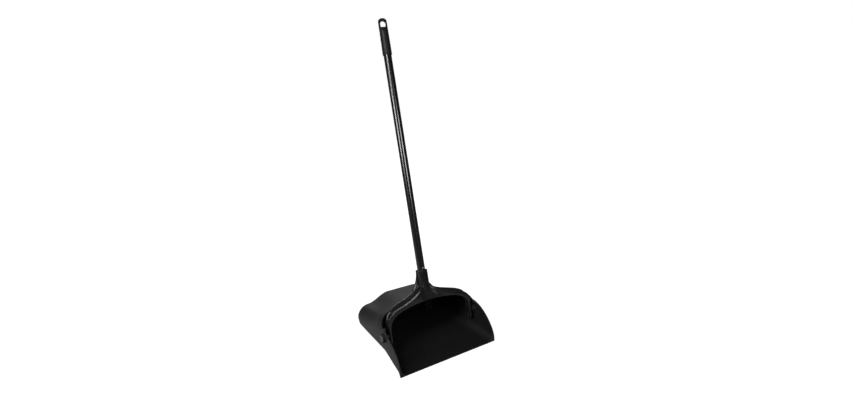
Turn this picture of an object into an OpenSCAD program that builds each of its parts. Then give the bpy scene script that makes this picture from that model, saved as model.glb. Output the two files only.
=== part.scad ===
// Upright lobby dustpan: a hooded pan on two rear wheels, hung by a yoke from a long coated handle.
// Lengths are in millimetres. X runs across the pan, Y from the lip to the rear, Z up from the ground.
// The origin is on the ground, at the middle of the flat land under the lip.

/* [Pan] */
// Width of the lip, corner to corner
lip_w = 317.5; // [290:0.5:360]
// Depth of the pan, from the lip's edge to the rear wall
pan_d = 317; // [290:1:360]
// Width across the floor behind the flared sides
floor_w = 291; // [270:1:300]
// Depth over which the sides flare out to the lip
flare_d = 114; // [90:1:125]
// Lean of the side walls behind the flare, in degrees
side_lean = 9; // [5:0.5:10]
// Thickness of the moulding
wall = 3; // [2:0.1:4]
// Thickness of the lip at its edge
lip_t = 1.4; // [0.8:0.1:2]
// Depth of the flat land under the lip
lip_land = 20; // [12:1:30]
// Height of the floor's underside behind the land
floor_rise = 2; // [0.5:0.5:4]
// Outside radius along the bottom of the sides and rear
corner_r = 25; // [14:1:28]

/* [Hood] */
// Distance from the lip's edge to the hood's rim
hood_y = 130; // [120:1:150]
// Height of the hood's crown at the rim
crown_h = 153; // [145:0.5:170]
// Height of the hood's crown at the rear, before it rounds over
crown_rear_h = 93; // [84:1:110]
// Height of the hood's shoulders at the rim
shoulder_h = 125.5; // [112:0.5:135]
// Height of the shoulders at the rear, before they round over
shoulder_rear_h = 72.5; // [66:0.5:80]
// Radius of the shoulders
shoulder_r = 42; // [25:1:46]
// Radius of the upright rear corners
rear_r = 37; // [24:1:45]
// Radius over which the hood rolls down into the rear wall
hood_roll = 36; // [26:1:40]
// Height at which the rim leaves the sides
rim_foot_h = 120; // [108:1:124]

/* [Wings] */
// Height of the wings at their top lug
wing_h = 93; // [84:1:100]
// Distance from the lip's edge to the middle of the lug
lug_y = 97; // [86:1:102]
// Length of the lug along the wing
lug_l = 8; // [5:0.5:10]
// How far the lug reaches in from the side
lug_in = 9; // [5:0.5:11]
// Height of the wing's upright front edge
toe_h = 6; // [5:1:12]
// Distance from the lip's edge at which the wings' curve would level out
wing_run = 125; // [105:1:150]

/* [Pivot] */
// Distance from the lip's edge to the pivot axis
pivot_y = 95; // [85:1:105]
// Height of the pivot axis
pivot_z = 68; // [60:1:76]
// Diameter of the pivot pins
pin_d = 10; // [7:0.5:11]
// Diameter of the pin heads
pin_head_d = 19; // [15:0.5:20]
// Thickness of the pin heads
pin_head_t = 3; // [2:0.5:4]
// Diameter of the outer bosses
boss_d = 26; // [24:0.5:30]
// How far the outer bosses stand out of the sides
boss_out = 7; // [6:0.5:11]
// Diameter of the ring inside each side
ring_d = 18; // [15:0.5:20]
// Height of that ring
ring_h = 8; // [3:0.5:9]

/* [Yoke] */
// Lean of the handle at rest, in degrees from upright
lean = 14.8; // [12:0.1:17]
// Depth of the yoke, front face to rear face
yoke_d = 22; // [18:1:26]
// Thickness of the arms across the pan
arm_t = 7; // [6:0.5:11]
// Gap between each arm and the ring inside the side
arm_gap = 6; // [2:0.5:9]
// Height of the arch's opening over the pivot axis
arch_h = 67.5; // [58:0.5:74]
// Height over the pivot axis where the yoke meets its socket
yoke_h = 118; // [112:1:126]
// How far the arms reach below the pivot axis
tail = 27; // [22:1:32]
// Thickness of the front and rear flanges
flange_t = 6; // [4:0.5:7]
// Depth of the channels between the flanges
channel_d = 2.2; // [1.5:0.1:3]
// How far the rear flange stands over the front one along the arch
rear_lift = 10; // [4:0.5:11]
// Distance of the handle's axis behind the pivot axis
handle_back = 14; // [11:0.5:18]
// Outside width of the socket, which is a rounded square
socket_d = 31; // [30:0.5:34]
// Height of the socket's top over the pivot axis
socket_top = 153.7; // [145:0.1:170]
// How deep the handle sits in the socket
socket_deep = 40; // [25:1:42]

/* [Handle] */
// Outside diameter of the steel tube
tube_d = 22.2; // [19:0.1:23]
// Wall of the steel tube
tube_wall = 0.9; // [0.6:0.1:1.5]
// Thickness of the tube's coating
jacket_t = 0.6; // [0.4:0.1:1]
// Length of the handle from the socket's top to the grip's top
handle_l = 741; // [500:1:900]
// Length of the hanging grip
grip_l = 107; // [80:1:140]
// Diameter of the grip at its lower end
grip_d = 27.6; // [27:0.1:31]
// Diameter of the grip below its rounded top
grip_top_d = 26; // [25.6:0.1:29]
// Thickness of the flattened top of the grip
grip_flat_t = 11; // [9:0.5:17]
// Length of the flattened part
grip_flat_l = 44; // [36:1:56]
// Width of the hanging eye
eye_w = 14; // [9:0.5:15]
// Height of the hanging eye
eye_h = 22; // [16:0.5:24]
// Material over the hanging eye
eye_top = 6; // [5:0.5:9]
// Turn of the flattened top round the handle, in degrees
grip_turn = -25; // [-90:1:90]

/* [Wheels] */
// Diameter of the rear wheels
wheel_d = 34; // [30:1:42]
// Width of the rear wheels
wheel_w = 16; // [12:1:22]
// Distance of each wheel's middle from the pan's middle
wheel_x = 102; // [80:1:104]
// Distance of the axles in front of the rear wall
axle_in = 20; // [16:1:28]
// Diameter of the axles
axle_d = 6; // [5:0.5:8]
// Thickness of the cheeks that carry the axles
cheek_t = 5; // [4:0.5:6]

/* [Hidden] */

// Clearances: running fits, pieces that pass each other, the yoke at rest against the rim and over the hood
run_gap = 0.06;
side_gap = 0.4;
rest_gap = 0.3;
hood_gap = 0.5;
well_gap = 3;
// Length by which cuts run past the faces that they open
over = 5;
// Small radii: the lip's corners, the flanges' edges, the grip's foot, the eye's corners, the wheels' edges
edge_r = 1.5;
flange_r = 2.2;
grip_edge = 1.6;
eye_r = 2;
tread_r = 2.5;
// Rivet through the tube's front: head, head height, shank, height over the socket, length inside the tube
rivet_head_d = 6;
rivet_head_t = 1.8;
rivet_d = 3.2;
rivet_over = 6;
rivet_in = 5;
// How far the spigot inside the tube reaches over the socket
spigot_over = 14;
// Recess round the pin inside each ring
ring_sink = 1.2;
// Socket: corner radius, flare of its rear corners and slope of its underside in degrees
socket_corner = 11;
socket_flare = 30;
neck_slope = 8;
// Side flutes, the front panel's width, the depth of both, and the solid band over the panel
flute_w = 9;
panel_w = 14;
flute_deep = 1.6;
flute_lift = 8;
// Web, hub and rim of a wheel
wheel_web_t = 6;
wheel_hub_d = 16;
wheel_rim_t = 5;
// Lug height
lug_h = 6;

// Steps of the curved surfaces
ring_steps = 8;
top_steps = 14;
arch_steps = 9;
flare_steps = 6;
hood_steps = 8;
horn_steps = 7;
wing_steps = 24;
rim_steps = 6;
roll_step = 15;
rear_step = 10;
$fn = 64;

// Exponents of the sides' flare, of their bottom radius, of the hood's fall, of the wings and of the rim's foot
flare_pow = 0.83;
low_pow = 0.2;
crown_pow = 1.1;
shoulder_pow = 0.67;
wing_pow = 1.8;
rim_pow = 1.5;

// Most of the sides' height that the bottom and the shoulder radius may take
low_share = 0.38;
high_share = 0.5;
// Flat part of the dome at the rear, as a share of its half width, and where the dome has formed
dome_share = 0.4;
dome_full_share = 0.81;
// Points of the yoke's curves, across as shares of the arm's place, up as shares of a height
outer_shares = [[1, 0.186], [1.03, 0.424], [0.905, 0.508], [0.73, 0.565], [0.475, 0.623]];
outer_neck_share = 0.782;
// Heights between which the rear flange rises, and between which the rear and the front sweep back
lift_shares = [0.32, 0.67];
rear_shares = [0.57, 0.7];
front_share = 0.7;
// Height of the socket's underside at the front, and the depth that its rear keeps there
neck_low_share = 0.77;
neck_deep_share = 0.7;
// Part of a cheek that an axle's end goes into, and of an arm that a pin goes into
seat_share = 0.6;
pin_share = 0.8;
// Depth of the arms at the pivot over their depth in the arch, and the height at which they reach the latter
arm_deep_share = 0.8;
arm_full_share = 0.5;
// Exponents of the rear's sweep over the hood and of the socket's flare
rear_pow = 0.7;
horn_pow = 1.8;
// Part of the axle's diameter that its slot leaves open, and the height of the grip's round top over its radius
snap_share = 0.88;
cap_share = 0.7;
inner_shares = [[1, 0.178], [1, 0.533], [0.9, 0.7], [0.73, 0.81], [0.53, 0.93], [0.29, 1], [0, 1]];

lip_y = -lip_land / 2;
coat_r = tube_d / 2 + jacket_t;
bore_r = tube_d / 2 - tube_wall;
axle_y = pan_d - axle_in;
axle_z = wheel_d / 2;
well_r = wheel_d / 2 + well_gap;
well_w = wheel_w + 2 * side_gap;

// Plain helpers: a share between two limits, a blend, an eased share, a cubic curve
function share(v, a, b) = max(0, min(1, (v - a) / (b - a)));
function mix(a, b, t) = a + (b - a) * t;
function ease(t) = t * t * (3 - 2 * t);
function bez(p, t) = pow(1 - t, 3) * p[0] + 3 * pow(1 - t, 2) * t * p[1] + 3 * (1 - t) * t * t * p[2]
    + t * t * t * p[3];
function reversed(a) = [for (i = [len(a) - 1:-1:0]) a[i]];
// How far a face has drawn in where it rounds over within r of depth d
function rolled(y, d, r) = r - sqrt(max(0, r * r - pow(max(0, min(y, d) - (d - r)), 2)));

// The pan's outer skin at depth y
function side_x(y) = mix(lip_w, floor_w, pow(share(y, 0, flare_d), 1 / flare_pow)) / 2;
function side_k(y) = tan(side_lean) * share(y, 0, flare_d);
function floor_z(y) = floor_rise * ease(share(y, lip_land, flare_d));
function floor_t(y) = mix(lip_t, wall, min(1, y / lip_land));
function crown_z(y) = mix(crown_h, crown_rear_h, pow(share(y, hood_y, pan_d), crown_pow));
function shoulder_z(y) = mix(shoulder_h, shoulder_rear_h, pow(share(y, hood_y, pan_d), shoulder_pow));
// Outside of the side wall at depth y and height z
function skin_x(y, z) = side_x(y) + side_k(y) * (z - floor_z(y));
// The crown's shape across: one arch at the rim that turns into a dome between flat shoulders
function arch_share(t, q) = mix(cos(90 * t), 1 - ease(share(t, dome_share, 1)), q);

// Half of the pan's section at depth y, drawn in by w from the outer skin, from the floor to the crown
function half_section(y, w) = let (
    d = pan_d - w,
    z0 = floor_z(y) + (w > 0 ? floor_t(y) : 0) + rolled(y, d, corner_r - w),
    roll = rolled(y, d, hood_roll - w),
    x0 = side_x(y) - w - rolled(y, d, rear_r - w),
    zs = shoulder_z(y) - w - roll,
    zc = crown_z(y) - w - roll,
    k = side_k(y),
    low = w > 0 ? corner_r - w : mix(edge_r, corner_r, pow(share(y, 0, flare_d), low_pow)),
    rb = min(low, (zs - z0) * low_share),
    rs = min(shoulder_r - w, (zs - z0) * high_share),
    q = share(y, hood_y, mix(hood_y, pan_d, dome_full_share)),
    x1 = x0 + k * (zs - rs - z0),
    flat_x = x1 - rs,
    tilt = atan((zc - zs) / flat_x * (1 - q) * PI / 2),
    x2 = flat_x + rs * sin(tilt),
    z2 = zs - rs + rs * cos(tilt))
    concat(
        [for (i = [0:ring_steps]) let (a = 90 * i / ring_steps, z = rb * (1 - cos(a)))
            [x0 - rb + rb * sin(a) + k * z, z0 + z]],
        [for (i = [0:ring_steps]) let (a = (90 - tilt) * i / ring_steps)
            [flat_x + rs * cos(a), zs - rs + rs * sin(a)]],
        [for (i = [1:top_steps]) let (t = 1 - i / top_steps)
            [x2 * t, z2 + (zc - z2) * arch_share(t, q)]]);

// A closed ring of points across the pan at depth y
function section(y, w) = let (h = half_section(y, w))
    [for (p = concat(h, [for (i = [len(h) - 2:-1:0]) [-h[i][0], h[i][1]]])) [p[0], y, p[1]]];

// Solid between rings of equal counts
module loft(rings) {
    n = len(rings[0]);
    m = len(rings);
    points = [for (r = rings) each r];
    sides = [for (j = [0:m - 2], i = [0:n - 1]) let (a = j * n + i, b = j * n + (i + 1) % n)
        each [[a, b, a + n], [b, b + n, a + n]]];
    polyhedron(points, concat([[for (i = [n - 1:-1:0]) i]], sides, [[for (i = [0:n - 1]) (m - 1) * n + i]]));
}

// Depths at which the pan's sections are taken, down to the end d and from the front f
function depths(f, d) = let (r = max(rear_r, hood_roll)) concat(
    [f, lip_land / 2, lip_land],
    [for (i = [1:flare_steps]) mix(lip_land, flare_d, i / flare_steps)],
    [for (i = [1:hood_steps]) mix(flare_d, d - r, i / hood_steps)],
    [for (a = [rear_step:rear_step:90]) d - r + r * sin(a)]);

module skin(w, f) {
    loft([for (y = depths(f, pan_d - w)) section(y, w)]);
}

// Rise of the wings' curve at depth y
function bulge(y) = pow(1 - pow(1 - y / wing_run, wing_pow), 1 / wing_pow);

// Cut that opens the mouth: over the wings' curve, their lugs and the foot of the hood's rim
module mouth_cut() {
    top = crown_h + wall + over;
    lug0 = lug_y - lug_l / 2;
    lug1 = lug_y + lug_l / 2;
    curve = [for (i = [0:wing_steps]) let (y = lug0 * (1 - cos(90 * i / wing_steps)))
        [y, mix(toe_h, wing_h, bulge(y) / bulge(lug0))]];
    foot = [for (i = [0:rim_steps]) let (t = i / rim_steps)
        [mix(lug1, hood_y, t), mix(wing_h, rim_foot_h, pow(t, rim_pow))]];
    translate([-lip_w, 0, 0])
        rotate([90, 0, 90])
            linear_extrude(2 * lip_w)
                polygon(concat([[-over, top], [-over, toe_h]], curve, foot, [[hood_y, top]]));
}

// Cylinder along X from x0 to x1 on the axis at depth y and height z
module across(x0, x1, y, z, r) {
    translate([min(x0, x1), y, z])
        rotate([0, 90, 0])
            cylinder(r = r, h = abs(x1 - x0));
}

pivot_skin = skin_x(pivot_y, pivot_z);
lug_skin = skin_x(lug_y, wing_h - lug_h);
boss_face = pivot_skin + boss_out;
boss_sink = wall / 2 + run_gap;
ring_face = pivot_skin - wall - ring_h;
head_seat = boss_face - pin_head_t - side_gap;
arm_out = ring_face - arm_gap;
arm_in = arm_out - arm_t;
pin_grip = arm_t * pin_share;

// Block over a rear wheel, r from the axle: upright front, round top, flat rear part
module wheel_block(s, r, reach, low, rear) {
    translate([s * wheel_x - reach, axle_y, axle_z])
        rotate([90, 0, 90])
            linear_extrude(2 * reach)
                polygon(concat([[rear, low], [rear, r]],
                    [for (a = [90:rear_step:180]) [r * cos(a), r * sin(a)]], [[-r, low]]));
}

// Wheel arch round one rear wheel, and the pocket that opens it to the ground and the rear
module wheel_arch(s) {
    wheel_block(s, well_r + wall, well_w / 2 + cheek_t, floor_rise + wall / 2 - axle_z, axle_in - wall / 2);
}

module wheel_pocket(s) {
    wheel_block(s, well_r, well_w / 2, -axle_z - over, axle_in + over);
}

// Half the length of an axle, which ends inside the cheeks
axle_reach = well_w / 2 + cheek_t * seat_share;

// Blind seat of an axle in its cheeks, with the narrowed slot that it snaps up through
module axle_seat(s) {
    reach = axle_reach + run_gap;
    across(s * wheel_x - reach, s * wheel_x + reach, axle_y, axle_z, axle_d / 2);
    translate([s * wheel_x - reach, axle_y - snap_share * axle_d / 2, -over])
        cube([2 * reach, snap_share * axle_d, axle_z + over]);
}

module pan() {
    color([0.17, 0.17, 0.18])
    translate([0, lip_y, 0])
    difference() {
        union() {
            difference() {
                skin(0, 0);
                skin(wall, -over);
                mouth_cut();
            }
            for (s = [-1, 1]) {
                wheel_arch(s);
                across(s * (pivot_skin - boss_sink), s * boss_face, pivot_y, pivot_z, boss_d / 2);
                across(s * (pivot_skin - wall + boss_sink), s * ring_face, pivot_y, pivot_z, ring_d / 2);
                translate([s * (lug_skin - (lug_in + wall / 2) / 2) - (lug_in - wall / 2) / 2,
                    lug_y - lug_l / 2, wing_h - lug_h])
                    cube([lug_in - wall / 2, lug_l, lug_h]);
            }
        }
        for (s = [-1, 1]) {
            wheel_pocket(s);
            axle_seat(s);
            across(s * (ring_face - over), s * (boss_face + over), pivot_y, pivot_z, pin_d / 2 + run_gap);
            across(s * head_seat, s * (boss_face + over), pivot_y, pivot_z, pin_head_d / 2 + side_gap);
            across(s * (ring_face - over), s * (ring_face + ring_sink), pivot_y, pivot_z, pin_d / 2 + edge_r);
        }
    }
}

// Moves to the handle's frame at rest: pivot axis at the origin, Y to the rear, Z along the handle
module on_pivot() {
    translate([0, lip_y + pivot_y, pivot_z])
        rotate([-lean, 0, 0])
            children();
}

// The rim's crown in that frame, which the yoke's rear face rests against
rim_back = (hood_y - pivot_y) * cos(lean) - (crown_h - pivot_z) * sin(lean);
rim_up = (crown_h - pivot_z) * cos(lean) + (hood_y - pivot_y) * sin(lean);
yoke_rear = rim_back - rest_gap;
yoke_front = yoke_rear - yoke_d;
neck_r = socket_d / 2;
// Half width at which the yoke's top is hidden in the socket
neck_in = neck_r - socket_corner * (1 - cos(45)) - edge_r;

// How far behind the handle's axis the socket's foot reaches
neck_rear = neck_r * neck_deep_share;

// The yoke's front and rear faces at height s: upright, then swept back under the socket
function front_b(s) = mix(yoke_front, handle_back - neck_in, ease(share(s, front_share * yoke_h, yoke_h)));
function rear_b(s) = mix(yoke_rear, handle_back + neck_rear,
    pow(share(s, rear_shares[0] * yoke_h, rear_shares[1] * yoke_h), rear_pow));
// The part of the depth that is left at height s: the arms thin down to the pivot and have round ends
function end_share(s) = sqrt(max(0, 1 - pow(max(0, 1 - (s + tail) * 2 / yoke_d), 2)))
    * mix(arm_deep_share, 1, ease(share(s, 0, arm_full_share * yoke_h)));
// Rise of the rear flange over the front one where the outer edge is at height s
function lift(s) = rear_lift * ease(share(s, lift_shares[0] * yoke_h, lift_shares[1] * yoke_h))
    * (1 - share(s, rim_up, yoke_h));

outer_points = concat([for (p = outer_shares) [p[0] * arm_out, p[1] * yoke_h]],
    [[neck_in, outer_neck_share * yoke_h], [neck_in, yoke_h]]);
inner_points = [for (p = inner_shares) [p[0] * arm_in, p[1] * arch_h]];

// The two edges of half the yoke, from the arm's end up to the middle, in pairs
function edge_run(p, x) = concat(
    [for (a = [roll_step:roll_step:90]) [x, yoke_d / 2 * (1 - cos(a)) - tail]],
    [[x, 0]],
    [for (i = [0:arch_steps - 1]) bez([p[0], p[1], p[2], p[3]], i / arch_steps)],
    [for (i = [0:arch_steps]) bez([p[3], p[4], p[5], p[6]], i / arch_steps)]);
outer_edge = edge_run(outer_points, arm_out);
inner_edge = edge_run(inner_points, arm_in);

// Channelled section between one pair of edge points: two flanges with rounded edges and a web
function yoke_section(o, i) = let (
    l = norm(o - i),
    e = (o - i) / l,
    h = yoke_d / 2,
    c = channel_d,
    r = flange_r,
    q = r * (1 - cos(45)),
    f = h - flange_t,
    up = lift(o[1]),
    side = [[r, -h], [q, -h + q], [0, -h + r], [0, -f], [c, -f + c / 2]],
    low = concat(side, [for (p = reversed(side)) [p[0], -p[1]]]),
    ring = concat(low, [for (p = reversed(low)) [l - p[0] + (p[1] > 0 ? up : 0), p[1]]]))
    [for (p = ring) let (v = i + e * p[0], s = v[1], t = (1 + p[1] / h * end_share(s)) / 2)
        [v[0], mix(front_b(s), rear_b(s), t), s]];

// Outline of a square of half width h with corners of radius r
function rounded_square(h, r) = [for (q = [0:3], a = [0:roll_step:90]) let (c = 90 * q)
    [(h - r) * (cos(c) - sin(c)) + r * cos(a + c), (h - r) * (sin(c) + cos(c)) + r * sin(a + c)]];

// Ring of the socket, the part t of the way down: its underside slopes, its rear corners flare and come forward
function socket_ring(t) = [for (p = rounded_square(neck_r, socket_corner)) let (q = max(0, p[1]) / neck_r)
    [p[0] + sign(p[0]) * q * socket_flare * pow(t, horn_pow),
        handle_back + p[1] + q * (neck_rear - neck_r) * t * t,
        mix(socket_top, yoke_h * neck_low_share, t) + tan(neck_slope) * t * (p[1] + neck_r)]];

module yoke_arch() {
    half = [for (k = [0:len(outer_edge) - 1]) yoke_section(outer_edge[k], inner_edge[k])];
    mid = yoke_section([0, yoke_h], [0, arch_h]);
    other = [for (r = reversed(half)) [for (p = r) [-p[0], p[1], p[2]]]];
    loft(concat(half, [mid], other));
}

// Room that the yoke leaves for the hood's front part
module hood_room() {
    front = hood_y - rest_gap;
    translate([0, lip_y, 0])
        loft([for (i = [0:arch_steps]) section(front + 3 * yoke_d * i / arch_steps, -hood_gap)]);
}

module yoke() {
    foot = socket_top - socket_deep;
    color([0.14, 0.14, 0.15])
    difference() {
    on_pivot()
    difference() {
        union() {
            yoke_arch();
            for (s = [-1, 1])
                across(s * arm_in, s * arm_out, 0, 0, pin_d / 2 + wall);
            difference() {
                loft([for (i = [0:horn_steps]) socket_ring(i / horn_steps)]);
                for (s = [-1, 1])
                    translate([s * (neck_r - flute_deep + socket_flare / 2) - socket_flare / 2,
                        handle_back - flute_w / 2, over])
                        cube([socket_flare, flute_w, socket_top]);
                translate([-panel_w / 2, handle_back - neck_r - over, yoke_h + edge_r])
                    cube([panel_w, over + flute_deep, socket_top - yoke_h - flute_lift]);
            }
            translate([0, handle_back, foot])
                cylinder(r = bore_r - run_gap, h = socket_deep + spigot_over);
        }
        translate([0, handle_back, foot])
            difference() {
                cylinder(r = coat_r, h = socket_deep + over);
                cylinder(r = bore_r - run_gap, h = socket_deep + over);
            }
        rivet_hole(bore_r - rivet_in);
        for (s = [-1, 1])
            across(s * (arm_out - pin_grip), s * (arm_out + over), 0, 0, pin_d / 2);
    }
        hood_room();
    }
}

module pivot_pin(s) {
    color([0.1, 0.1, 0.1])
    translate([0, lip_y, 0]) {
        across(s * (arm_out - pin_grip), s * (head_seat + side_gap), pivot_y, pivot_z, pin_d / 2);
        across(s * (head_seat + side_gap), s * (head_seat + side_gap + pin_head_t), pivot_y, pivot_z,
            pin_head_d / 2);
    }
}

// Tube and its coating, both from the socket's foot up into the grip as far as its flats
tube_end = socket_top + handle_l - grip_flat_l;
tube_foot = socket_top - socket_deep;

// Moves to the rivet's axis, pointing out of the tube's front, with the tube's axis at zero
module on_rivet() {
    translate([0, handle_back, socket_top + rivet_over])
        rotate([90, 0, 0])
            children();
}

module rivet_hole(depth) {
    on_rivet()
        translate([0, 0, depth])
            cylinder(d = rivet_d, h = coat_r - depth + over);
}

module handle_tube() {
    color([0.6, 0.6, 0.62])
    on_pivot()
    difference() {
        translate([0, handle_back, tube_foot])
            cylinder(d = tube_d, h = tube_end - tube_foot);
        translate([0, handle_back, tube_foot - over])
            cylinder(r = bore_r, h = tube_end - tube_foot + 2 * over);
        rivet_hole(0);
    }
}

module handle_jacket() {
    color([0.12, 0.12, 0.13])
    on_pivot()
    difference() {
        translate([0, handle_back, tube_foot])
            cylinder(r = coat_r, h = tube_end - tube_foot);
        translate([0, handle_back, tube_foot - over])
            cylinder(d = tube_d, h = tube_end - tube_foot + 2 * over);
        rivet_hole(0);
    }
}

// Domed head on the coating, with a shank through the tube into the spigot
module handle_rivet() {
    color("silver")
    on_pivot()
    on_rivet()
    rotate_extrude()
        polygon(concat([[0, bore_r - rivet_in], [rivet_d / 2, bore_r - rivet_in], [rivet_d / 2, coat_r]],
            [for (a = [0:roll_step:90]) [rivet_head_d / 2 * cos(a), coat_r + rivet_head_t * sin(a)]]));
}

// Upright eye of half width r between the heights a and b: an arched top and bottom corners of radius c
function slot(a, b, r, c) = concat(
    [for (v = [0:roll_step:180]) [r * cos(v), b - r + r * sin(v)]],
    [for (v = [180:roll_step:270]) [c - r + c * cos(v), a + c + c * sin(v)]],
    [for (v = [270:roll_step:360]) [r - c + c * cos(v), a + c + c * sin(v)]]);

module hang_grip() {
    top = socket_top + handle_l;
    low = top - grip_l;
    r0 = grip_d / 2;
    r1 = grip_top_d / 2;
    cap = r1 * cap_share;
    color([0.13, 0.13, 0.14])
    on_pivot()
    translate([0, handle_back, 0])
    rotate([0, 0, grip_turn])
    difference() {
        rotate_extrude()
            polygon(concat([[0, low], [r0 - grip_edge, low], [r0, low + grip_edge]],
                [for (a = [0:roll_step:90 - roll_step]) [r1 * cos(a), top - cap + cap * sin(a) / cos(roll_step)]],
                [[0, top]]));
        translate([0, 0, low - over])
            cylinder(r = coat_r, h = tube_end - low + over);
        for (a = [0, 180])
            rotate([0, 0, a])
                translate([-grip_d, 0, 0])
                    rotate([90, 0, 90])
                        linear_extrude(2 * grip_d)
                            polygon([[r0, top - grip_flat_l], [grip_flat_t / 2, top - eye_top],
                                [grip_flat_t / 2, top + over], [r0 + over, top + over],
                                [r0 + over, top - grip_flat_l]]);
        translate([0, grip_d, 0])
            rotate([90, 0, 0])
                linear_extrude(2 * grip_d)
                    polygon(slot(top - eye_top - eye_h, top - eye_top, eye_w / 2, eye_r));
    }
}

module wheel(s) {
    r = wheel_d / 2;
    h = wheel_w / 2;
    b = axle_d / 2 + run_gap;
    c = tread_r;
    hub = wheel_hub_d / 2;
    rim = r - wheel_rim_t;
    web = wheel_web_t / 2;
    half = [[b, h], [hub, h], [hub, web], [rim, web], [rim, h], [r - c, h], [r, h - c]];
    color([0.16, 0.16, 0.16])
    translate([s * wheel_x, lip_y + axle_y, axle_z])
    rotate([0, 90, 0])
    rotate_extrude()
        polygon(concat(half, [for (p = reversed(half)) [p[0], -p[1]]]));
}

module axle(s) {
    color([0.65, 0.65, 0.67])
    translate([0, lip_y, 0])
    across(s * wheel_x - axle_reach, s * wheel_x + axle_reach, axle_y, axle_z, axle_d / 2);
}

module pivot_pin_left() { pivot_pin(-1); }
module pivot_pin_right() { pivot_pin(1); }
module wheel_left() { wheel(-1); }
module wheel_right() { wheel(1); }
module axle_left() { axle(-1); }
module axle_right() { axle(1); }

pan();
yoke();
pivot_pin_left();
pivot_pin_right();
handle_tube();
handle_jacket();
handle_rivet();
hang_grip();
wheel_left();
wheel_right();
axle_left();
axle_right();
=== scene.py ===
"""Looks of the lobby dustpan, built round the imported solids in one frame, in metres."""
import math

import bmesh
import bpy
from mathutils import Matrix, Vector


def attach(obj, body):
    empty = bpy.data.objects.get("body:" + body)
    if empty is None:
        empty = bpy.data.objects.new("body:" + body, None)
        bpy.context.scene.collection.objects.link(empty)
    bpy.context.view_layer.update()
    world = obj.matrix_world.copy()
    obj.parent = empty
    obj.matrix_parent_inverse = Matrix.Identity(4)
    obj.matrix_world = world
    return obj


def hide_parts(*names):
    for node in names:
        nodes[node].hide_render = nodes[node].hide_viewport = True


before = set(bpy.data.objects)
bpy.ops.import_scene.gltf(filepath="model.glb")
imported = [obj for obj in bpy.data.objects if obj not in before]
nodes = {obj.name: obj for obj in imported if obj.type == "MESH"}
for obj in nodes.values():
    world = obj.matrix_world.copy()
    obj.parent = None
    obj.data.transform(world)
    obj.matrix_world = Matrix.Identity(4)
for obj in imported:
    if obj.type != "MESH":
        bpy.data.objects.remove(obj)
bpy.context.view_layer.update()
scene = bpy.context.scene
MM = 0.001
NONE_TO_ALL = (0.0, 1.0)
NOISE_MIDDLE = 0.5

# Plastic: scale per metre, detail and roughness of its noises, and the stretch and turn of crossing scratches
CLOUD = {"scale": 38, "detail": 4, "rough": 0.6}
DOTS = {"scale": 800, "detail": 1, "rough": 0.5}
GRAIN = {"detail": 2, "rough": 0.6}
SCRATCH = {"scale": 1, "detail": 3, "rough": 0.65}
SCRATCH_SETS = (((520, 24, 90), (0.3, 0.2, 0.5)), ((30, 610, 80), (0.1, 0.4, -0.3)))

# Plastic: values of the noises between which each effect comes in
CLOUD_SPAN = (0.3, 0.7)
DOT_SPAN = (0.55, 0.72)
SCRATCH_SPAN = (0.66, 0.8)

# Plastic: rubbed edges, found by the cosine between a face and its rounded form and broken up by the cloud
RUB_RADIUS = 1.6 * MM
RUB_SAMPLES = 6
RUB_COSINES = (0.985, 0.86)
RUB_CLOUD_SPAN = (0.35, 0.65)
RUB_CLOUD_SHARES = (0.3, 1.0)

# Plastic: shares of the base colour, and how warm its lightest shade is
DARK_SHARE = 0.9
LIGHT_SHARE = 1.12
LIGHT_WARMTH = 0.01
DOT_SHARE = 4

# Plastic: what scuffs, clouds and rubbing do to colour and roughness, and scratches to the grain's height
SCUFF_COLOUR_SHARE = 2.0
ROUGH_SPREAD_SHARE = 0.3
RUB_POLISH = 0.05
SCRATCH_DEPTH_SHARE = -0.5
GRAIN_STRENGTH = 0.5
SOFT_SAMPLES = 16

# Metal: noises, spots, shares of its colour, and what lines and clouds add to its roughness
METAL_CLOUD = {"scale": 160, "detail": 4, "rough": 0.6}
METAL_LINES = {"scale": 1, "detail": 3, "rough": 0.7}
METAL_SPOTS = {"scale": 420, "detail": 3, "rough": 0.6}
SPOT_SPAN = (0.62, 0.74)
SPOT_COVER = (0.0, 0.35)
SPOT_SHARE = 0.5
DULL_SHARE = 0.85
LINE_ROUGHNESS = 0.18
CLOUD_ROUGHNESS = 0.1
MIDDLE_ROUGHNESS = (LINE_ROUGHNESS + CLOUD_ROUGHNESS) * NOISE_MIDDLE
LINE_STRENGTH = 0.25
LINE_DEPTH = 0.05 * MM

# Mouldings: seams closed and flat faces joined, then edges over this angle rounded
SEAM = 0.002 * MM
FLAT_ANGLE = math.radians(0.3)
SHARP_ANGLE = math.radians(32)
EDGE_SEGMENTS = 3
PAN_EDGE = 0.7 * MM
YOKE_EDGE = 0.6 * MM

# World and floor: plain greys, and how white the ground is over each span, seen and, dimmed, reflected
PLAIN_LIGHT = 0.3
SKY_RISE = (0.0, 0.4)
SKY_REFLECTED = (0.15, 0.05)
FLOOR_HALF = 6.0
FLOOR_GREY = 0.3
FLOOR_GRAIN = {"scale": 90, "detail": 4, "rough": 0.6}
FLOOR_GRAIN_SPAN = (0.3, 0.7)
FLOOR_SHADES = (0.985, 1.0)
SEEN_SPAN = (0.7, 2.6)
SEEN_GLOW = (0.8, 1.02)
REFLECTED_SPAN = (0.4, 1.4)
REFLECTED_GLOW = (0.25, 0.05)

# Softboxes: place, target, width and height, and power in watts
SOFTBOXES = {
    "key": ((-1.5, -0.7, 1.9), (0, 0.1, 0.2), (0.6, 0.6), 26),
    "back": ((0.3, 1.8, 1.3), (0, 0.15, 0.15), (1.3, 0.6), 20),
    "side": ((-1.66, -0.2, 1.04), (0, 0.2, 0.6), (0.6, 0.52), 20),
    "front": ((-0.03, -1.47, 1.2), (0, 0.2, 0.6), (0.4, 0.55), 15),
}

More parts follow.
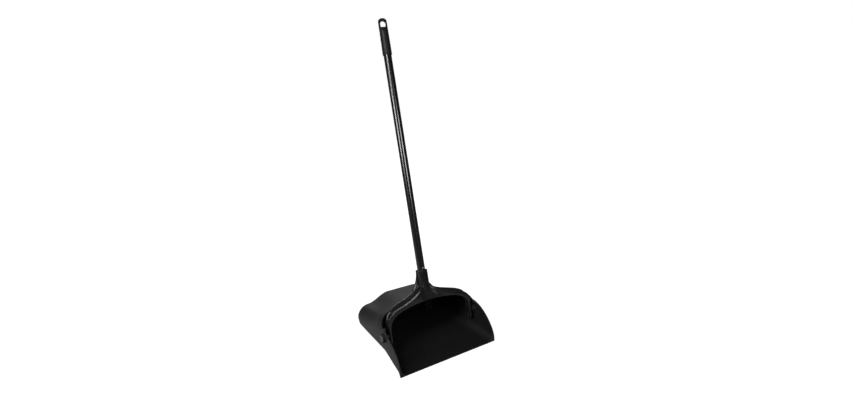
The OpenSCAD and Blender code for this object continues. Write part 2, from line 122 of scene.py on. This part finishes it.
# Camera fitted to the photograph: place and reach, angles in radians, sensor in millimetres, then pixels
CAMERA_AT = (-0.59666, -0.86709, 0.69951)
CAMERA_TURN = -0.5536060
CAMERA_RISE = 0.2437240
CAMERA_ROLL = -0.0206474
CAMERA_REACH = 50
SENSOR_WIDTH = 36
PHOTO_WIDTH = 854
FOCAL_PIXELS = 425

# Places of the two colours among a mix node's inputs, and of the mixed one among its outputs
MIX_COLOURS = (6, 7)
MIX_RESULT = 2


# Materials

class Graph:
    """Short way to write a node tree."""

    def __init__(self, tree):
        tree.nodes.clear()
        self.tree = tree

    def give(self, socket, value):
        if isinstance(value, bpy.types.NodeSocket):
            self.tree.links.new(value, socket)
        else:
            socket.default_value = value

    def add(self, kind, inputs=None, **props):
        node = self.tree.nodes.new(kind)
        for key, value in props.items():
            setattr(node, key, value)
        for key, value in (inputs or {}).items():
            self.give(node.inputs[key], value)
        return node

    def math(self, operation, a, b, clamp=False):
        node = self.add("ShaderNodeMath", {0: a, 1: b}, operation=operation, use_clamp=clamp)
        return node.outputs[0]

    def noise(self, at, scale, detail, rough):
        inputs = {"Vector": at, "Scale": scale, "Detail": detail, "Roughness": rough}
        return self.add("ShaderNodeTexNoise", inputs).outputs["Fac"]

    def stretch(self, at, scale, turn=(0, 0, 0)):
        inputs = {"Vector": at, "Scale": scale, "Rotation": turn}
        return self.add("ShaderNodeMapping", inputs).outputs[0]

    def remap(self, value, given, wanted):
        inputs = {"Value": value, "From Min": given[0], "From Max": given[1], "To Min": wanted[0],
                  "To Max": wanted[1]}
        return self.add("ShaderNodeMapRange", inputs).outputs["Result"]

    def blend(self, share, *colours):
        node = self.add("ShaderNodeMix", {"Factor": share}, data_type="RGBA")
        for index, colour in zip(MIX_COLOURS, colours):
            self.give(node.inputs[index], colour)
        return node.outputs[MIX_RESULT]

    def here(self):
        return self.add("ShaderNodeTexCoord").outputs["Object"]

    def rounded(self, radius, samples):
        return self.add("ShaderNodeBevel", {"Radius": radius}, samples=samples).outputs[0]

    def ray_kinds(self):
        """1 for what the camera sees, straight or through a piece, and 1 for what shows in a reflection."""
        path = self.add("ShaderNodeLightPath").outputs
        seen = self.math("MAXIMUM", path["Is Camera Ray"], path["Is Transmission Ray"])
        return seen, path["Is Glossy Ray"]


def grey(value, warmth=0.0):
    return (value * (1 + warmth), value, value * (1 - warmth), 1)


def new_material(name):
    material = bpy.data.materials.new(name)
    material.use_nodes = True
    return material, Graph(material.node_tree)


def plastic(name, base, worn, rough, grain, grain_depth, specular, wear=0.35, scuff=0.06, soft=1.0 * MM,
            speckle=0.3):
    """Moulded black plastic: fine grain, cloudy roughness, faint scuffs, specks and paler rubbed edges."""
    material, g = new_material(name)
    at = g.here()
    cloud = g.noise(at, **CLOUD)
    fine = g.noise(at, scale=grain, **GRAIN)
    scratches = [g.noise(g.stretch(at, scale, turn), **SCRATCH) for scale, turn in SCRATCH_SETS]
    marks = g.remap(g.math("MAXIMUM", *scratches), SCRATCH_SPAN, NONE_TO_ALL)

    face = g.add("ShaderNodeNewGeometry").outputs["Normal"]
    both = {0: g.rounded(RUB_RADIUS, RUB_SAMPLES), 1: face}
    cosine = g.add("ShaderNodeVectorMath", both, operation="DOT_PRODUCT").outputs["Value"]
    patches = g.remap(cloud, RUB_CLOUD_SPAN, RUB_CLOUD_SHARES)
    rub = g.math("MULTIPLY", g.remap(cosine, RUB_COSINES, NONE_TO_ALL), patches)

    shades = grey(base * DARK_SHARE), grey(base * LIGHT_SHARE, LIGHT_WARMTH)
    colour = g.blend(g.remap(cloud, CLOUD_SPAN, NONE_TO_ALL), *shades)
    dots = g.remap(g.noise(at, **DOTS), DOT_SPAN, (0.0, speckle))
    colour = g.blend(dots, colour, grey(base * DOT_SHARE))
    colour = g.blend(g.math("MULTIPLY", marks, scuff * SCUFF_COLOUR_SHARE), colour, grey(worn))
    colour = g.blend(g.math("MULTIPLY", rub, wear), colour, grey(worn))

    spread = g.math("MULTIPLY", g.math("SUBTRACT", cloud, NOISE_MIDDLE), ROUGH_SPREAD_SHARE * rough)
    dullness = g.math("ADD", rough, spread)
    dullness = g.math("SUBTRACT", dullness, g.math("MULTIPLY", rub, RUB_POLISH))
    dullness = g.math("ADD", dullness, g.math("MULTIPLY", marks, scuff), clamp=True)

    height = g.math("ADD", fine, g.math("MULTIPLY", marks, SCRATCH_DEPTH_SHARE))
    bump = g.add("ShaderNodeBump", {"Strength": GRAIN_STRENGTH, "Distance": grain_depth, "Height": height,
                                    "Normal": g.rounded(soft, SOFT_SAMPLES)})
    shader = g.add("ShaderNodeBsdfPrincipled", {"Base Color": colour, "Roughness": dullness,
                                                "Normal": bump.outputs[0], "Specular IOR Level": specular})
    g.add("ShaderNodeOutputMaterial", {0: shader.outputs[0]})
    return material


def metal(name, colour, rough, brush):
    """Drawn metal: fine lines along the piece, cloudy roughness and a few darker spots."""
    material, g = new_material(name)
    at = g.here()
    cloud = g.noise(at, **METAL_CLOUD)
    lines = g.noise(g.stretch(at, brush), **METAL_LINES)
    spots = g.remap(g.noise(at, **METAL_SPOTS), SPOT_SPAN, SPOT_COVER)
    bright, dull, dark = [tuple(c * share for c in colour) + (1,) for share in (1, DULL_SHARE, SPOT_SHARE)]
    tint = g.blend(spots, g.blend(cloud, dull, bright), dark)
    brushed = g.math("MULTIPLY", lines, LINE_ROUGHNESS)
    spread = g.math("ADD", brushed, g.math("MULTIPLY", cloud, CLOUD_ROUGHNESS))
    dullness = g.math("ADD", spread, rough - MIDDLE_ROUGHNESS, clamp=True)
    bump = g.add("ShaderNodeBump", {"Strength": LINE_STRENGTH, "Distance": LINE_DEPTH, "Height": lines})
    shader = g.add("ShaderNodeBsdfPrincipled", {"Base Color": tint, "Roughness": dullness,
                                                "Normal": bump.outputs[0], "Metallic": 1.0})
    g.add("ShaderNodeOutputMaterial", {0: shader.outputs[0]})
    return material


LOOKS = {
    "pan": plastic("pan", base=0.0052, worn=0.09, rough=0.5, grain=1500, grain_depth=0.08 * MM, specular=0.15,
                   wear=0.6, speckle=0.35),
    "yoke": plastic("yoke", base=0.0045, worn=0.02, rough=0.28, grain=2000, grain_depth=0.002 * MM,
                    specular=0.3, wear=0.1, soft=3.5 * MM),
    "pin": plastic("pin", base=0.0045, worn=0.03, rough=0.3, grain=1700, grain_depth=0.02 * MM, specular=0.3),
    "jacket": plastic("jacket", base=0.002, worn=0.02, rough=0.2, grain=2400, grain_depth=0.0004 * MM,
                      specular=0.55, wear=0.2, scuff=0.02, speckle=0.1),
    "grip": plastic("grip", base=0.0045, worn=0.03, rough=0.42, grain=1500, grain_depth=0.04 * MM,
                    specular=0.18),
    "wheel": plastic("wheel", base=0.01, worn=0.06, rough=0.6, grain=900, grain_depth=0.2 * MM, specular=0.2,
                     wear=0.6, scuff=0.15),
    "tube": metal("tube", colour=(0.56, 0.56, 0.57), rough=0.34, brush=(900, 900, 12)),
    "axle": metal("axle", colour=(0.58, 0.58, 0.59), rough=0.3, brush=(20, 1400, 1400)),
    "rivet": metal("rivet", colour=(0.22, 0.22, 0.23), rough=0.5, brush=(700, 700, 700)),
}
SLOT_OF = {
    "pan": "pan", "yoke": "yoke", "pivot_pin_left": "pin", "pivot_pin_right": "pin", "handle_tube": "tube",
    "handle_jacket": "jacket", "handle_rivet": "rivet", "hang_grip": "grip", "wheel_left": "wheel",
    "wheel_right": "wheel", "axle_left": "axle", "axle_right": "axle",
}


def dress(obj, slot):
    obj.data.materials.clear()
    obj.data.materials.append(LOOKS[slot])


for name, slot in SLOT_OF.items():
    dress(nodes[name], slot)


# Mouldings

def closed_mesh(node, name):
    """Copy of a node's mesh with its seams closed and its curved faces shaded smooth."""
    bm = bmesh.new()
    bm.from_mesh(nodes[node].data)
    bmesh.ops.remove_doubles(bm, verts=bm.verts, dist=SEAM)
    bmesh.ops.dissolve_limit(bm, angle_limit=FLAT_ANGLE, verts=bm.verts, edges=bm.edges)
    mesh = bpy.data.meshes.new(name)
    bm.to_mesh(mesh)
    bm.free()
    for attribute in ("custom_normal", "sharp_face", "sharp_edge"):
        if attribute in mesh.attributes:
            mesh.attributes.remove(mesh.attributes[attribute])
    mesh.shade_smooth()
    mesh.set_sharp_from_angle(angle=SHARP_ANGLE)
    return mesh


def moulded(node, body, name, edge):
    """Stands in for a node with a closed copy of it whose edges are rounded."""
    obj = bpy.data.objects.new(name, closed_mesh(node, name))
    scene.collection.objects.link(obj)
    bevel = obj.modifiers.new("edges", "BEVEL")
    bevel.width = edge
    bevel.segments = EDGE_SEGMENTS
    bevel.limit_method = "ANGLE"
    bevel.angle_limit = SHARP_ANGLE
    bevel.harden_normals = True
    bevel.miter_outer = "MITER_ARC"
    dress(obj, SLOT_OF[node])
    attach(obj, body)
    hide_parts(node)


moulded("pan", "pan_body", "pan_shell", PAN_EDGE)
moulded("yoke", "handle_body", "yoke_body", YOKE_EDGE)


# World, floor, lamps and camera

def light_world():
    """Plain grey light all round, and a white ground behind the object."""
    scene.world = bpy.data.worlds.new("studio")
    scene.world.use_nodes = True
    g = Graph(scene.world.node_tree)
    seen, mirrored = g.ray_kinds()
    toward = g.add("ShaderNodeTexCoord").outputs["Generated"]
    rise = g.add("ShaderNodeSeparateXYZ", {0: toward}).outputs["Z"]
    sky = g.math("MAXIMUM", g.math("MULTIPLY", g.remap(rise, SKY_RISE, SKY_REFLECTED), mirrored), seen)
    plain = g.add("ShaderNodeBackground", {"Color": grey(PLAIN_LIGHT)})
    white = g.add("ShaderNodeBackground", {"Color": grey(1.0), "Strength": sky})
    shown = g.math("MAXIMUM", seen, mirrored)
    mix = g.add("ShaderNodeMixShader", {0: shown, 1: plain.outputs[0], 2: white.outputs[0]})
    g.add("ShaderNodeOutputWorld", {0: mix.outputs[0]})


def floor_material():
    """Matt ground that keeps the object's shadow and turns white away from it."""
    material, g = new_material("floor")
    seen, mirrored = g.ray_kinds()
    at = g.here()
    speck = g.remap(g.noise(at, **FLOOR_GRAIN), FLOOR_GRAIN_SPAN, FLOOR_SHADES)
    matt = g.add("ShaderNodeBsdfDiffuse", {"Color": g.blend(speck, grey(0.0), grey(FLOOR_GREY))})
    away = g.add("ShaderNodeVectorMath", {0: at}, operation="LENGTH").outputs["Value"]
    far = g.math("MULTIPLY", g.remap(away, SEEN_SPAN, SEEN_GLOW), seen)
    pool = g.math("MULTIPLY", g.remap(away, REFLECTED_SPAN, REFLECTED_GLOW), mirrored)
    glow = g.add("ShaderNodeEmission", {"Color": grey(1.0), "Strength": g.math("MAXIMUM", far, pool)})
    total = g.add("ShaderNodeAddShader", {0: matt.outputs[0], 1: glow.outputs[0]})
    g.add("ShaderNodeOutputMaterial", {0: total.outputs[0]})
    return material


def lay_floor():
    mesh = bpy.data.meshes.new("floor")
    corners = [(x * FLOOR_HALF, y * FLOOR_HALF, 0) for x, y in ((-1, -1), (1, -1), (1, 1), (-1, 1))]
    mesh.from_pydata(corners, [], [range(len(corners))])
    mesh.materials.append(floor_material())
    floor = bpy.data.objects.new("floor", mesh)
    scene.collection.objects.link(floor)


def softbox(name, place, target, size, watts):
    lamp = bpy.data.lights.new(name, "AREA")
    lamp.shape = "RECTANGLE"
    lamp.size, lamp.size_y = size
    lamp.energy = watts
    obj = bpy.data.objects.new(name, lamp)
    scene.collection.objects.link(obj)
    obj.location = place
    obj.rotation_euler = (Vector(target) - Vector(place)).to_track_quat("-Z", "Y").to_euler()


def set_camera():
    back = Matrix.Rotation(CAMERA_TURN, 3, "Z") @ Vector((0, -math.cos(CAMERA_RISE), math.sin(CAMERA_RISE)))
    level = Vector((math.cos(CAMERA_TURN), math.sin(CAMERA_TURN), 0))
    upright = back.cross(level)
    right = math.cos(CAMERA_ROLL) * level + math.sin(CAMERA_ROLL) * upright
    up = math.cos(CAMERA_ROLL) * upright - math.sin(CAMERA_ROLL) * level
    lens = bpy.data.cameras.new("camera")
    lens.sensor_fit = "HORIZONTAL"
    lens.sensor_width = SENSOR_WIDTH
    lens.lens = SENSOR_WIDTH * FOCAL_PIXELS / PHOTO_WIDTH
    lens.clip_end = CAMERA_REACH
    camera = bpy.data.objects.new("camera", lens)
    scene.collection.objects.link(camera)
    axes = Matrix((right, up, back)).transposed()
    camera.matrix_world = Matrix.Translation(CAMERA_AT) @ axes.to_4x4()
    scene.camera = camera


light_world()
lay_floor()
for name, setting in SOFTBOXES.items():
    softbox(name, *setting)
set_camera()
scene.view_settings.view_transform = "Standard"
